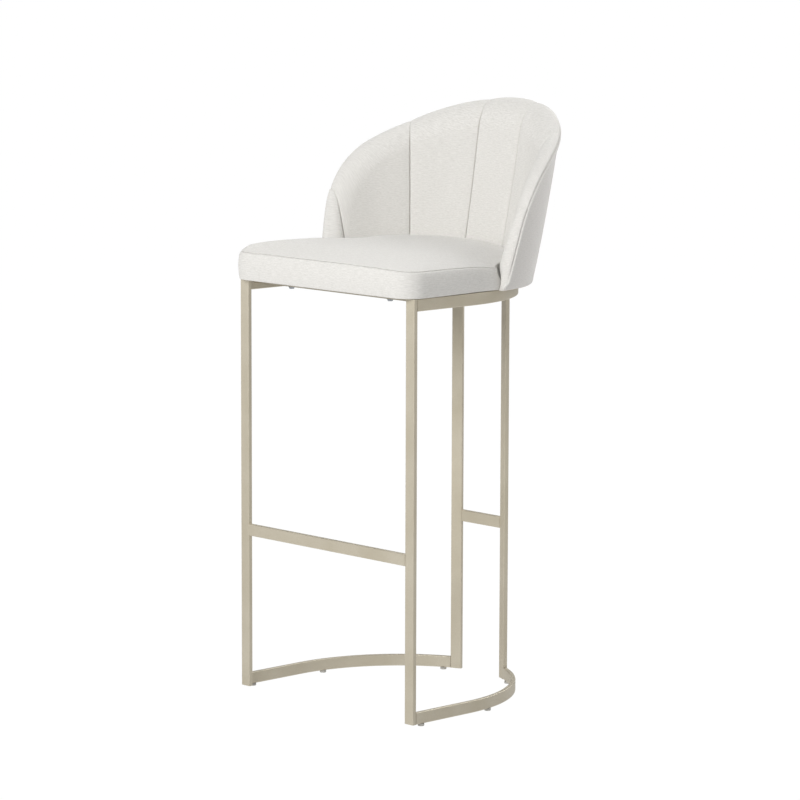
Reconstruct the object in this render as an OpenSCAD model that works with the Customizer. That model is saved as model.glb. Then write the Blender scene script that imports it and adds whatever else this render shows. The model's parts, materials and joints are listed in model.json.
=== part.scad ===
// Bar stool with footrest: a flat-bar steel frame, an upholstered seat and a channelled tub back.
// The stool faces -Y. Its parts are drawn about the middle of the tub and then centred on the floor.

/* [Steel frame] */
// Height of the top of the seat ring above the floor
ring_h = 705; // [600:1:760]
// Width across the outsides of the front legs
frame_w = 424; // [380:1:460]
// Distance from the middle of the tub forward to the front faces of the legs
frame_front = 167.5; // [150:0.5:190]
// Straight run of each side rail, from the front faces to the start of its bend
side_run = 133; // [110:1:150]
// Outer radius of each side bend
side_r = 258; // [240:1:280]
// Turn of each side bend before the tighter back bend
side_turn = 70; // [68:1:74]
// Turn along the side bend at which a rear leg stands
rear_leg_turn = 66; // [58:1:66]
// Width of the flat bar
bar_w = 20; // [16:1:30]
// Thickness of the flat bar
bar_t = 8; // [7:0.5:10]
// Rounding of the bar's long edges
bar_edge_r = 1.5; // [0.5:0.1:2.5]
// Height of the middle of the footrest and the rear stretcher
rung_h = 276; // [200:1:360]

/* [Glides] */
// Height of a glide's pad, which lifts the frame off the floor
glide_h = 4; // [2:0.5:8]
// Diameter of a glide's pad
glide_d = 11; // [9:0.5:16]
// Diameter of the stud that holds a glide in its rail
stud_d = 4; // [3:0.5:5]
// Length of the stud
stud_len = 8; // [5:1:12]
// Distance of the front glides behind the front faces
front_glide_back = 22.5; // [18:0.5:60]
// Turn along the side bend of the middle glides
mid_glide_turn = 11; // [4:1:30]
// Turn along the side bend of the rear glides, short of the rear leg
rear_glide_turn = 60.5; // [45:0.5:61]

/* [Seat] */
// Width of the seat pad at its front corners
pad_w = 434; // [400:1:460]
// Width of the seat pad where it enters the tub
pad_mouth_w = 414; // [396:1:416]
// Radius of the pad's corners where it enters the tub
pad_mouth_r = 10; // [6:1:14]
// How far the pad reaches forward of the legs
pad_overhang = 19; // [8:1:30]
// Radius of the pad's front corners
pad_corner_r = 38; // [24:1:60]
// Height of the pad's top edge above the ring
pad_edge_h = 42; // [34:1:60]
// Rise of the pad's crown above its top edge
pad_crown = 18; // [8:1:24]
// Thickness of the plywood seat board
board_t = 15; // [12:1:18]
// Thickness of the upholstery fabric with its backing
cover_t = 1.5; // [1:0.1:2.5]
// Width of the fabric turned under the seat board
turn_under = 30; // [20:1:40]
// Thickness of the dust cover
dust_t = 0.8; // [0.5:0.1:1.2]

/* [Tub back] */
// Outer radius of the tub at the seat ring
tub_r = 226; // [222:0.5:240]
// Growth of the tub's radius over its reference height
tub_flare = 33; // [20:1:50]
// Outward belly of the wall at half its reference height
tub_belly = 3; // [0:0.5:6]
// Reference height over which the flare and belly are measured
tub_ref_h = 280; // [240:5:320]
// Backward tilt of the tub's axis
tub_tilt = 4.4; // [2:0.1:6]
// Thickness of the moulded plywood shell
shell_t = 9; // [6:0.5:12]
// Distance from the outer fabric to the crown of a channel
channel_depth = 34; // [30:1:42]
// Radius of the rounded front of a channel, seen from above
channel_round_r = 400; // [250:10:800]
// Angle from the back to the first seam on each side
seam_1 = 12.6; // [9:0.1:16]
// Angle from the back to the second seam
seam_2 = 42.5; // [36:0.5:48]
// Angle from the back to the third seam
seam_3 = 74; // [68:0.5:76]
// Diameter of the piping round the rim
piping_d = 5; // [3:0.5:8]

/* [Rim of the tub] */
// Where the wings start at ring height, behind the middle of the tub
wing_y = 27; // [15:1:40]
// Backward lean of the front edges of the wings
wing_lean = 13.5; // [10:0.5:25]
// Slope of the rim as it rises to the back
rim_slope = 28.8; // [20:0.1:35]
// Height of the rim's back above the ring
rim_h = 291.5; // [240:0.5:300]
// Radius of the curve between the wing's edge and the rim
rim_curve_r = 190; // [120:5:230]

/* [Fixings] */
// Thread diameter of the seat bolts
bolt_d = 6; // [5:1:8]
// Length of the seat bolts under the head
bolt_len = 22; // [19:1:23]
// Half spacing across the stool of the front bolts
bolt_front_x = 120; // [80:1:150]
// Half spacing across the stool of the rear bolts
bolt_rear_x = 90; // [60:1:110]
// How far the front cross bar sits behind the front faces
front_bar_back = 24; // [16:1:60]
// How far the rear cross bar sits behind the middle of the tub
rear_bar_y = 100; // [60:1:120]
// Number of screws that hold the shell to the seat board
shell_screw_n = 7; // [5:1:9]
// Diameter of a shell screw
shell_screw_d = 4; // [3.5:0.5:5]
// Length of a shell screw
shell_screw_len = 38; // [30:1:45]
// Angle from the back to the outermost shell screws
shell_screw_span = 66; // [55:1:70]

/* [Hidden] */
$fn = 96;
fit = 0.2; // gap between pieces that seat in or against each other
slide = 0.3; // radial clearance of a bolt in its hole
far = 700; // reach of cutting shapes past the stool
front_y = -frame_front;
bend_y = front_y + side_run;
side_cx = frame_w / 2 - side_r; // centre of the right side bend
back_r = side_r + side_cx / cos(side_turn);
back_cy = bend_y + (side_r - back_r) * sin(side_turn);
ring_low = ring_h - bar_w;
rail_top = glide_h + bar_w;
rung_low = rung_h - bar_w / 2;
cross_low = ring_h - bar_t;
front_bar_y = front_y + front_bar_back;
board_low = ring_h + cover_t;
board_top = board_low + board_t;
pad_front = front_y - pad_overhang;
pad_edge = ring_h + pad_edge_h;
tub_y = -5; // the tub's axis at ring height
ply_out = cover_t + fit;
ply_in = ply_out + shell_t;
foam_out = ply_in + fit;
// heights along the tub's axis between which its wall is drawn, past the ring and past the rim
wall_low = -2 * bar_w;
wall_high = rim_h + 50;
pad_cy = tub_y + (board_top - ring_h) * tan(tub_tilt);
pad_back_r = wall_r(board_top - ring_h) - channel_depth - 2 * fit;
// the crown is a shallow dome, centred on the pad, that falls to the edge at half the pad's width
crown_y = (pad_front + pad_cy + pad_back_r) / 2;
crown_reach = far / 2;
crown_steps = 14;
rim_low = ring_h + fit;
rim_back = tub_y + (wall_r(rim_h)) * cos(tub_tilt) + rim_h * sin(tub_tilt);
rim_top = ring_h + rim_h;
piping_lift = piping_d / 2 + fit;
// the rim's side view: a line up the wing, a curve, and a line to the back
rise = [sin(wing_lean), cos(wing_lean)];
slope = [cos(rim_slope), sin(rim_slope)];
wing_foot = [wing_y, ring_h];
corner_run = cross2([rim_back, rim_top] - wing_foot, slope) / cross2(rise, slope);
corner = wing_foot + corner_run * rise;
rim_turn = 90 - wing_lean - rim_slope;
curve_run = rim_curve_r * tan(rim_turn / 2);
curve_start = corner - curve_run * rise;
curve_end = corner + curve_run * slope;
curve_c = curve_start + rim_curve_r * [rise[1], -rise[0]];
screw_z = board_low + board_t / 2;
// depth of the whole stool, used to centre it on the floor
stool_back = rim_point(90, 0, piping_lift)[1] + piping_d / 2;
centre_y = (pad_front + stool_back) / 2;

function cross2(a, b) = a[0] * b[1] - a[1] * b[0];
// points along an arc in a number of equal steps
function arc(c, r, from, to, steps) =
    [for (i = [0:steps]) let (a = from + (to - from) * i / steps) c + r * [cos(a), sin(a)]];
// height of the pad's dome at a distance from its middle
function crown_z(r) = pad_edge + pad_crown * (1 - pow(2 * r / pad_w, 2));
// radius of the tub's outside at a height along its tilted axis
function wall_r(h) =
    let (part = h / tub_ref_h)
    tub_r + tub_flare * part + 4 * tub_belly * part * (1 - part);
// a point of the tilted tub, from its angle, its height along the axis and how far it lies inside
function tub_point(a, h, inset) =
    let (r = wall_r(h) - inset)
    [
        r * cos(a),
        tub_y + r * sin(a) * cos(tub_tilt) + h * sin(tub_tilt),
        ring_h - r * sin(a) * sin(tub_tilt) + h * cos(tub_tilt)
    ];
// how far a side-view point lies above the rim line
function over_rim(p) =
    p[1] < curve_start[1] ? cross2(rise, p - wing_foot) :
    p[0] > curve_end[0] ? cross2(slope, p - corner) :
    norm(p - curve_c) - rim_curve_r;
// height along the axis at which the outside meets the rim line, found by halving
function rim_height(a, lo = 0, hi = wall_high, n = 24) =
    n == 0 ? (lo + hi) / 2 :
    let (mid = (lo + hi) / 2, p = tub_point(a, mid, 0))
    over_rim([p[1], p[2]]) > 0 ? rim_height(a, lo, mid, n - 1) : rim_height(a, mid, hi, n - 1);
// a point above the rim, set in from the outside and lifted square to the rim line
function rim_point(a, inset, lift) =
    let (p = tub_point(a, rim_height(a), inset), q = [p[1], p[2]],
         up = p[2] < curve_start[1] ? [-rise[1], rise[0]] :
              p[1] > curve_end[0] ? [-slope[1], slope[0]] : (q - curve_c) / norm(q - curve_c))
    [p[0], p[1] + lift * up[0], p[2] + lift * up[1]];

// moves everything from the tub's middle to the middle of the stool's depth
module place() {
    translate([0, -centre_y, 0]) children();
}
// steel colour of the whole frame
module steel() {
    color([0.72, 0.69, 0.62]) children();
}
module fabric() {
    color([0.88, 0.87, 0.85]) children();
}
module zinc() {
    color([0.62, 0.63, 0.65]) children();
}

// ---- flat bar ----
// the bar's cross-section with rounded edges, its low corner at the origin
module bar_section(a, b) {
    translate([bar_edge_r, 0]) square([a - 2 * bar_edge_r, b]);
    translate([0, bar_edge_r]) square([a, b - 2 * bar_edge_r]);
    for (x = [bar_edge_r, a - bar_edge_r], y = [bar_edge_r, b - bar_edge_r])
        translate([x, y]) circle(r = bar_edge_r, $fn = 24);
}
// an upright bar, its broad side along X
module upright(low, high) {
    translate([0, 0, low]) linear_extrude(height = high - low) bar_section(bar_w, bar_t);
}
// the straight run and side bend of a rail on edge, on the right side of the stool
module side_rail(low, turn) {
    translate([frame_w / 2 - bar_t, bend_y, low]) rotate([90, 0, 0])
        linear_extrude(height = side_run - bar_t) bar_section(bar_t, bar_w);
    translate([side_cx, bend_y, low])
        rotate_extrude(angle = turn, $fn = 180) translate([side_r - bar_t, 0]) bar_section(bar_t, bar_w);
}
// places a child at a turn along the right side bend, on the bend's outside
module on_bend(turn) {
    translate([side_cx, bend_y, 0]) rotate([0, 0, turn]) translate([side_r, 0, 0]) children();
}
// mirrors a right-hand piece for side -1 and leaves it for side 1
module handed(side) {
    if (side < 0) mirror([1, 0, 0]) children();
    else children();
}
module front_leg(side) {
    steel() place() handed(side) translate([frame_w / 2 - bar_w, front_y, 0]) upright(glide_h, ring_h);
}
module rear_leg(side) {
    steel() place() handed(side) on_bend(rear_leg_turn)
        translate([0, -bar_w / 2, 0]) rotate([0, 0, 90]) upright(glide_h, ring_low);
}
module seat_rail(side) {
    steel() place() handed(side) side_rail(ring_low, side_turn);
}
// the tighter bend that closes the seat ring at the back
module seat_rail_back() {
    steel() place() translate([0, back_cy, ring_low]) rotate([0, 0, side_turn])
        rotate_extrude(angle = 180 - 2 * side_turn, $fn = 180)
            translate([back_r - bar_t, 0]) bar_section(bar_t, bar_w);
}
// the space inside the seat ring's bends, for cutting the cross bars to length
module ring_inside() {
    for_both_bends() translate([side_cx, bend_y, cross_low - 1])
        cylinder(r = side_r - bar_t, h = bar_t + 2, $fn = 180);
}
module for_both_bends() {
    intersection() {
        children();
        mirror([1, 0, 0]) children();
    }
}
module bolt_holes(r, y, x) {
    for (side = [-1, 1]) translate([side * x, y, cross_low - 1]) cylinder(r = r, h = bar_t + 2);
}
module cross_bar_front() {
    steel() place() difference() {
        translate([bar_t - frame_w / 2, front_bar_y, cross_low]) cube([frame_w - 2 * bar_t, bar_w, bar_t]);
        bolt_holes(bolt_d / 2 + slide, front_bar_y + bar_w / 2, bolt_front_x);
    }
}
module cross_bar_rear() {
    steel() place() difference() {
        intersection() {
            translate([-frame_w / 2, rear_bar_y, cross_low]) cube([frame_w, bar_w, bar_t]);
            ring_inside();
        }
        bolt_holes(bolt_d / 2 + slide, rear_bar_y + bar_w / 2, bolt_rear_x);
    }
}
// the three glide places of the right rail, for a child drawn at the floor
module at_glide(place_n) {
    if (place_n == 0) translate([(frame_w - bar_t) / 2, front_y + front_glide_back, 0]) children();
    if (place_n == 1) on_bend(mid_glide_turn) translate([-bar_t / 2, 0, 0]) children();
    if (place_n == 2) on_bend(rear_glide_turn) translate([-bar_t / 2, 0, 0]) children();
}
module floor_rail(side) {
    steel() place() handed(side) difference() {
        side_rail(glide_h, rear_leg_turn);
        on_bend(rear_leg_turn) translate([-bar_w, -bar_w / 2, 0]) cube([2 * bar_w, 2 * bar_w, rail_top + 1]);
        for (n = [0:2]) at_glide(n)
            cylinder(d = stud_d + fit, h = glide_h + stud_len + fit, $fn = 32);
    }
}
module footrest_bar() {
    steel() place() translate([bar_w - frame_w / 2, front_y, rung_low]) rotate([90, 0, 90])
        linear_extrude(height = frame_w - 2 * bar_w) bar_section(bar_t, bar_w);
}
module rear_stretcher() {
    leg_mid = bend_y + (side_r - bar_t / 2) * sin(rear_leg_turn) + bar_w / 2 * cos(rear_leg_turn);
    steel() place() difference() {
        translate([-frame_w / 2, leg_mid - bar_t / 2, rung_low]) rotate([90, 0, 90])
            linear_extrude(height = frame_w) bar_section(bar_t, bar_w);
        for (side = [-1, 1]) handed(side) on_bend(rear_leg_turn)
            translate([-far / 2, bar_w / 2 - far, 0]) cube([far, far, ring_h]);
    }
}
module glide(side, n) {
    color([0.25, 0.25, 0.25]) place() handed(side) at_glide(n) {
        cylinder(d1 = glide_d - 1, d2 = glide_d, h = 1, $fn = 48);
        translate([0, 0, 1]) cylinder(d = glide_d, h = glide_h - 1, $fn = 48);
        translate([0, 0, glide_h]) cylinder(d = stud_d, h = stud_len, $fn = 32);
    }
}

// ---- seat ----
// the pad's plan, drawn in from its edge: a front body with rounded corners, tucked into a round back
module pad_plan(inset) {
    r_front = max(pad_corner_r - inset, 1);
    r_mouth = max(pad_mouth_r - inset, 1);
    r_back = pad_back_r - inset;
    front_c = [pad_w / 2 - inset - r_front, pad_front + inset + r_front];
    mouth_c = [pad_mouth_w / 2 - inset - r_mouth, wing_y - fit - inset - r_mouth];
    span = mouth_c - front_c;
    // the outward direction of the line that touches both corners
    side_a = atan2(span[1], span[0]) - acos((r_front - r_mouth) / norm(span));
    back_a = asin((mouth_c[1] + r_mouth - pad_cy) / r_back);
    right = concat(
        arc(front_c, r_front, -90, side_a, 8),
        arc(mouth_c, r_mouth, side_a, 90, 4),
        arc([0, pad_cy], r_back, back_a, 90, 24)
    );
    polygon(concat(right, [for (i = [len(right) - 2:-1:0]) [-right[i][0], right[i][1]]]));
}
// the pad's solid from a low plane up to its crown, drawn in by an inset
module pad_solid(inset, low) {
    high = pad_edge + 2 * pad_crown;
    difference() {
        translate([0, 0, low]) linear_extrude(height = high - low) pad_plan(inset);
        translate([0, crown_y, 0]) rotate_extrude($fn = 180) polygon(concat(
            [[0, high + 1], [crown_reach, high + 1]],
            [for (i = [crown_steps:-1:0]) let (r = crown_reach * i / crown_steps) [r, crown_z(r) - inset]]
        ));
    }
}
module seat_bolt_places() {
    for (side = [-1, 1]) {
        translate([side * bolt_front_x, front_bar_y + bar_w / 2, 0]) children();
        translate([side * bolt_rear_x, rear_bar_y + bar_w / 2, 0]) children();
    }
}
tee_flange_d = 3 * bolt_d + 1;
tee_flange_t = 1.5;
tee_barrel_d = bolt_d + 2;
tee_barrel_h = 10;
// the seat board: under the whole pad, and out to the shell behind the wings' front edges
module seat_board() {
    color([0.79, 0.65, 0.46]) place() difference() {
        union() {
            translate([0, 0, board_low]) linear_extrude(height = board_t) pad_plan(cover_t + fit);
            intersection() {
                translate([-far / 2, wing_y + bar_t, board_low]) cube([far, far, board_t]);
                tub_inside(ply_in + fit);
            }
        }
        seat_bolt_places() translate([0, 0, board_low]) {
            translate([0, 0, -1]) cylinder(d = tee_barrel_d + fit, h = board_t + 2, $fn = 48);
            translate([0, 0, board_t - tee_flange_t - fit])
                cylinder(d = tee_flange_d + 2 * fit, h = 3, $fn = 48);
        }
        shell_screw_places()
            cylinder(d = shell_screw_d + fit, h = screw_sunk + shell_screw_len + fit, $fn = 32);
    }
}
module seat_foam() {
    color([0.93, 0.9, 0.78]) place() pad_solid(cover_t + fit, board_top);
}
module seat_cover() {
    fabric() place() {
        difference() {
            pad_solid(0, board_top);
            pad_solid(cover_t, board_top - 1);
        }
        // in front of the tub the fabric goes round the board's edge and under it
        intersection() {
            translate([-far / 2, pad_front - 1, ring_h])
                cube([far, wing_y - pad_front - 1, board_top - ring_h]);
            difference() {
                translate([0, 0, ring_h]) linear_extrude(height = board_top - ring_h) pad_plan(0);
                translate([0, 0, board_low]) linear_extrude(height = board_t + 1) pad_plan(cover_t);
                translate([0, 0, ring_h - 1]) linear_extrude(height = cover_t + 2) pad_plan(turn_under);
            }
        }
    }
}
// the dust cover closes the board's underside inside the turned-under fabric
module dust_cover() {
    color([0.1, 0.1, 0.1]) place() difference() {
        union() {
            translate([0, 0, board_low - dust_t]) linear_extrude(height = dust_t) pad_plan(turn_under + fit);
            intersection() {
                translate([-far / 2, wing_y + bar_t, board_low - dust_t]) cube([far, far, dust_t]);
                tub_inside(ply_in + 1);
            }
        }
        seat_bolt_places() translate([0, 0, board_low - dust_t - 1])
            cylinder(d = tee_barrel_d + fit, h = dust_t + 2, $fn = 48);
    }
}
module tee_nuts() {
    zinc() place() seat_bolt_places() translate([0, 0, board_top - tee_flange_t]) difference() {
        union() {
            cylinder(d = tee_flange_d, h = tee_flange_t, $fn = 48);
            translate([0, 0, -tee_barrel_h]) cylinder(d = tee_barrel_d, h = tee_barrel_h + 1, $fn = 48);
        }
        translate([0, 0, -tee_barrel_h - 1])
            cylinder(d = bolt_d + fit, h = tee_barrel_h + tee_flange_t + 2, $fn = 48);
    }
}
washer_t = 1.2;
module bolt_washers() {
    zinc() place() seat_bolt_places() translate([0, 0, cross_low - washer_t]) difference() {
        cylinder(d = 2 * bolt_d, h = washer_t, $fn = 48);
        translate([0, 0, -1]) cylinder(d = bolt_d + 2 * fit, h = washer_t + 2, $fn = 48);
    }
}
module seat_bolts() {
    head_h = bolt_d * 0.55;
    zinc() place() seat_bolt_places() translate([0, 0, cross_low - washer_t]) difference() {
        union() {
            translate([0, 0, -head_h]) cylinder(d1 = bolt_d * 1.3, d2 = bolt_d * 1.75, h = head_h, $fn = 48);
            cylinder(d = bolt_d, h = bolt_len, $fn = 48);
        }
        translate([0, 0, -head_h - 1]) cylinder(d = bolt_d * 0.67, h = head_h, $fn = 6);
    }
}

// ---- tub back ----
wall_steps = 8;
function wall_h(i) = wall_low + (wall_high - wall_low) * i / wall_steps;
module tilted() {
    translate([0, tub_y, ring_h]) rotate([-tub_tilt, 0, 0]) children();
}
// everything inside a surface that lies a set distance inside the tub's outside
module tub_inside(inset) {
    tilted() rotate_extrude($fn = 180) polygon(concat(
        [[0, wall_low]],
        [for (i = [0:wall_steps]) [wall_r(wall_h(i)) - inset, wall_h(i)]],
        [[0, wall_high]]
    ));
}
// a layer of the tub's wall between two insets, over a range of angles from +X
module wall_layer(outer, inner, start = 0, turn = 360) {
    tilted() rotate([0, 0, start]) rotate_extrude(angle = turn, $fn = 180) polygon(concat(
        [for (i = [0:wall_steps]) [wall_r(wall_h(i)) - outer, wall_h(i)]],
        [for (i = [wall_steps:-1:0]) [wall_r(wall_h(i)) - inner, wall_h(i)]]
    ));
}
// the side view of what lies behind and under the rim, above a low plane
module rim_side(low)
    polygon(concat(
        [wing_foot + (low - ring_h) / rise[1] * rise],
        [for (a = [180 - wing_lean : -3 : 90 + rim_slope]) curve_c + rim_curve_r * [cos(a), sin(a)]],
        [curve_end, corner + far * slope, [far, low]]
    ));
module under_rim(low) {
    translate([-far / 2, 0, 0]) rotate([90, 0, 90]) linear_extrude(height = far) rim_side(low);
}
module back_shell() {
    color([0.79, 0.65, 0.46]) place() difference() {
        intersection() {
            wall_layer(ply_out, ply_in);
            under_rim(rim_low);
        }
        shell_screw_places() {
            translate([0, 0, -shell_t])
                cylinder(d = screw_head_d + 2 * fit, h = shell_t + screw_sunk, $fn = 32);
            translate([0, 0, screw_sunk]) screw_head(fit);
            cylinder(d = shell_screw_d + 2 * fit, h = 2 * shell_t, $fn = 32);
        }
    }
}
module back_cover() {
    fabric() place() intersection() {
        wall_layer(0, cover_t);
        under_rim(rim_low);
    }
}
// a foam-filled channel between two seams, with a rounded front; angles are from +X
module channel(start, end) {
    middle = (start + end) / 2;
    gap_a = 0.05;
    lean = atan(tub_flare / tub_ref_h);
    fabric() place() intersection() {
        wall_layer(foam_out, channel_depth + bar_w, start + gap_a, end - start - 2 * gap_a);
        tilted() rotate([0, 0, middle]) translate([wall_r(0) - channel_depth, 0, 0]) rotate([0, lean, 0])
            translate([channel_round_r, 0, -far / 4]) cylinder(r = channel_round_r, h = far, $fn = 360);
        under_rim(board_top);
    }
}
module back_piping() {
    n_top = 36; // rings from the wing's curve to the back, each side
    n_wing = 14;
    side_n = 8;
    wing_a = wing_angle(curve_start[1]);
    foot = ring_h + piping_d / 2 + fit;
    half = concat(
        [for (i = [0:n_wing - 1]) wing_angle(foot + (curve_start[1] - foot) * i / n_wing)],
        [for (i = [0:n_top]) wing_a + (90 - wing_a) * i / n_top]
    );
    right = [for (a = half) rim_point(a, cover_t, piping_lift)];
    line = concat(right, [for (i = [len(right) - 2:-1:0]) [-right[i][0], right[i][1], right[i][2]]]);
    fabric() place() tube(line, piping_d / 2, side_n);
}
// the angle at which the wing's edge passes a height
function wing_angle(z, lo = 0, hi = 60, n = 24) =
    n == 0 ? (lo + hi) / 2 :
    let (mid = (lo + hi) / 2, p = tub_point(mid, rim_height(mid), 0))
    p[2] > z ? wing_angle(z, lo, mid, n - 1) : wing_angle(z, mid, hi, n - 1);
function unit(v) = v / norm(v);
// a round tube along a line of points, with side_n flats
module tube(line, r, side_n) {
    last = len(line) - 1;
    rings = [
        for (i = [0:last])
            let (t = unit(line[min(i + 1, last)] - line[max(i - 1, 0)]),
                 out = unit(cross(t, [0, 0.5, 1])), up = cross(out, t))
            for (k = [0:side_n - 1])
                let (a = 360 * (k + 0.5) / side_n)
                line[i] + r * (cos(a) * out + sin(a) * up)
    ];
    polyhedron(
        points = rings,
        faces = concat(
            [[for (k = [0:side_n - 1]) k]],
            [for (i = [0:last - 1], k = [0:side_n - 1])
                let (a = i * side_n + k, b = i * side_n + (k + 1) % side_n)
                [a, a + side_n, b + side_n, b]],
            [[for (k = [side_n - 1:-1:0]) last * side_n + k]]
        )
    );
}
// shell screws point in towards the tub's axis, their heads flush with the plywood
module shell_screw_places() {
    for (i = [0:shell_screw_n - 1]) {
        a = 90 + shell_screw_span * (2 * i / (shell_screw_n - 1) - 1);
        r = wall_r(screw_z - ring_h) - ply_out;
        y = tub_y + (screw_z - ring_h) * tan(tub_tilt);
        translate([0, y, screw_z]) rotate([0, 0, a]) translate([r, 0, 0]) rotate([0, -90, 0]) children();
    }
}
screw_head_d = 2 * shell_screw_d;
screw_head_h = (screw_head_d - shell_screw_d) / 2;
screw_sunk = 1;
screw_tip = 2;
// a countersunk head, grown by a clearance
module screw_head(grow) {
    cylinder(d1 = screw_head_d + 2 * grow, d2 = shell_screw_d + 2 * grow, h = screw_head_h, $fn = 32);
}
module shell_screws() {
    straight = shell_screw_len - screw_tip;
    zinc() place() shell_screw_places() translate([0, 0, screw_sunk]) {
        screw_head(0);
        cylinder(d = shell_screw_d, h = straight, $fn = 32);
        translate([0, 0, straight]) cylinder(d1 = shell_screw_d, d2 = 1, h = screw_tip, $fn = 32);
    }
}

front_leg(-1);  // front_leg_left
front_leg(1);  // front_leg_right
rear_leg(-1);  // rear_leg_left
rear_leg(1);  // rear_leg_right
seat_rail(-1);  // seat_rail_left
seat_rail(1);  // seat_rail_right
seat_rail_back();
cross_bar_front();
cross_bar_rear();
floor_rail(-1);  // floor_rail_left
floor_rail(1);  // floor_rail_right
footrest_bar();
rear_stretcher();
glide(-1, 0);  // glide_front_left
glide(1, 0);  // glide_front_right
glide(-1, 1);  // glide_mid_left
glide(1, 1);  // glide_mid_right
glide(-1, 2);  // glide_rear_left
glide(1, 2);  // glide_rear_right
seat_board();
seat_foam();
seat_cover();
dust_cover();
seat_bolts();
bolt_washers();
tee_nuts();
back_shell();
channel(90 - seam_1, 90 + seam_1);  // channel_centre
channel(90 + seam_1, 90 + seam_2);  // channel_inner_left
channel(90 - seam_2, 90 - seam_1);  // channel_inner_right
channel(90 + seam_2, 90 + seam_3);  // channel_outer_left
channel(90 - seam_3, 90 - seam_2);  // channel_outer_right
channel(90 + seam_3, 180);  // channel_wing_left
channel(0, 90 - seam_3);  // channel_wing_right
back_cover();
back_piping();
shell_screws();
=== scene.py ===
# %% [markdown]
# # A bar stool with a tub back, dressed for the camera
#
# The stool is a welded frame of flat steel bar that carries a boxed seat pad and a channelled tub
# back. The steel comes finished from the CAD model, so what is left to make here is the soft part
# and the look of every surface. All lengths are in metres, and the stool faces -Y.

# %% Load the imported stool
import json
from math import acos, atan2, cos, degrees, hypot, pi, radians, sin, sqrt, tan

import bmesh
import bpy
from mathutils import Matrix, Vector
from mathutils.kdtree import KDTree


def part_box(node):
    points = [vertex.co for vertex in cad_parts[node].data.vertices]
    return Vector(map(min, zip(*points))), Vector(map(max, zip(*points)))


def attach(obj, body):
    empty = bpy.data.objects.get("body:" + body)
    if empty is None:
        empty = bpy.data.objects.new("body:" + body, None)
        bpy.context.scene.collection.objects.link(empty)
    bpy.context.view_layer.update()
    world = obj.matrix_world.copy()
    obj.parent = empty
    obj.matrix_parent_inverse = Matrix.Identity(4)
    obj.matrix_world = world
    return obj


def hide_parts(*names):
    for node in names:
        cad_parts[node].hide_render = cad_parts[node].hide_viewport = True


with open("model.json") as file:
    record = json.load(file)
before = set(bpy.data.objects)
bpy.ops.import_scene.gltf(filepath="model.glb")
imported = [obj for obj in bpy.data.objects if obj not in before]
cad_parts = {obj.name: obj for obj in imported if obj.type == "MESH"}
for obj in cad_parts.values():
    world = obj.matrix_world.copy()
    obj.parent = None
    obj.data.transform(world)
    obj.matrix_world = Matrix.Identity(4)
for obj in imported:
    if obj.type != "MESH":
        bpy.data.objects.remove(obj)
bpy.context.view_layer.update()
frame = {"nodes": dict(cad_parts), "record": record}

parts = frame["nodes"]
mm = 0.001
ring_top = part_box("seat_rail_left")[1].z
front_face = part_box("front_leg_left")[0].y
tub_middle = front_face + 167.5 * mm
print("seat ring top", round(ring_top, 4), "middle of the tub at y", round(tub_middle, 4))

# %% [markdown]
# ## Camera
#
# A long lens far from the stool keeps upright lines upright. The camera stands to the right of the
# front, about 1.4 m up, looks slightly down, and is turned by a hair about its own axis. It is
# placed by three directions: across the view, up the view, and back from the stool to the lens.

# %% Camera
azimuth, elevation, roll = radians(46.314), radians(8.198), 0.003
across = Vector((cos(azimuth), sin(azimuth), 0))
backwards = Vector((sin(azimuth) * cos(elevation), -cos(azimuth) * cos(elevation), sin(elevation)))
upwards = backwards.cross(across)
aim = Vector((0, tub_middle, 503.36 * mm)) + 2.77 * mm * across
view_x = cos(roll) * across + sin(roll) * upwards
view_y = cos(roll) * upwards - sin(roll) * across
lens_distance, sensor_width = 6.3436, 36
focal_length = 3759.5 / 800  # in widths of the sensor

lens = bpy.data.cameras.new("stool_camera")
lens.sensor_width = sensor_width
lens.lens = focal_length * sensor_width
lens.clip_end = 200
camera = bpy.data.objects.new("stool_camera", lens)
bpy.context.scene.collection.objects.link(camera)
turn = Matrix((view_x, view_y, backwards)).transposed().to_4x4()
camera.matrix_world = Matrix.Translation(aim + lens_distance * backwards) @ turn
bpy.context.scene.camera = camera
print("lens", round(lens.lens, 1), "mm, camera at",
      [round(v, 3) for v in camera.matrix_world.translation])

# %% [markdown]
# ## Colours and nodes
#
# Colours are picked as sRGB hex values, the way a screen shows them, but light adds up in linear
# values, so one function turns them. One helper adds any node with its settings and its links, and
# short ones on top of it make the noise, sums and two-colour ramps that every finish is built
# from.

# %% Colour and node helpers
def linear(hex_colour):
    """Linear red, green, blue and alpha of an sRGB hex colour"""
    shown = [int(hex_colour[i : i + 2], 16) / 255 for i in (1, 3, 5)]
    return [v / 12.92 if v <= 0.04045 else ((v + 0.055) / 1.055) ** 2.4 for v in shown] + [1.0]


def connect(tree, node, inputs):
    """Sets or links inputs from (socket name or number, value or output to link) pairs"""
    for key, value in inputs:
        if isinstance(value, bpy.types.NodeSocket):
            tree.links.new(value, node.inputs[key])
        else:
            node.inputs[key].default_value = value


def add_node(tree, kind, inputs=(), **settings):
    """A shader node with its settings made and its inputs set or linked"""
    made = tree.nodes.new("ShaderNode" + kind)
    for key, value in settings.items():
        setattr(made, key, value)
    connect(tree, made, inputs)
    return made


def noise(tree, vector, scale, detail):
    """The grey output of a noise texture"""
    inputs = [("Vector", vector), ("Scale", scale), ("Detail", detail)]
    return add_node(tree, "TexNoise", inputs).outputs["Fac"]


def maths(tree, operation, *values):
    """The result of a sum on values or outputs"""
    return add_node(tree, "Math", enumerate(values), operation=operation).outputs[0]


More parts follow.
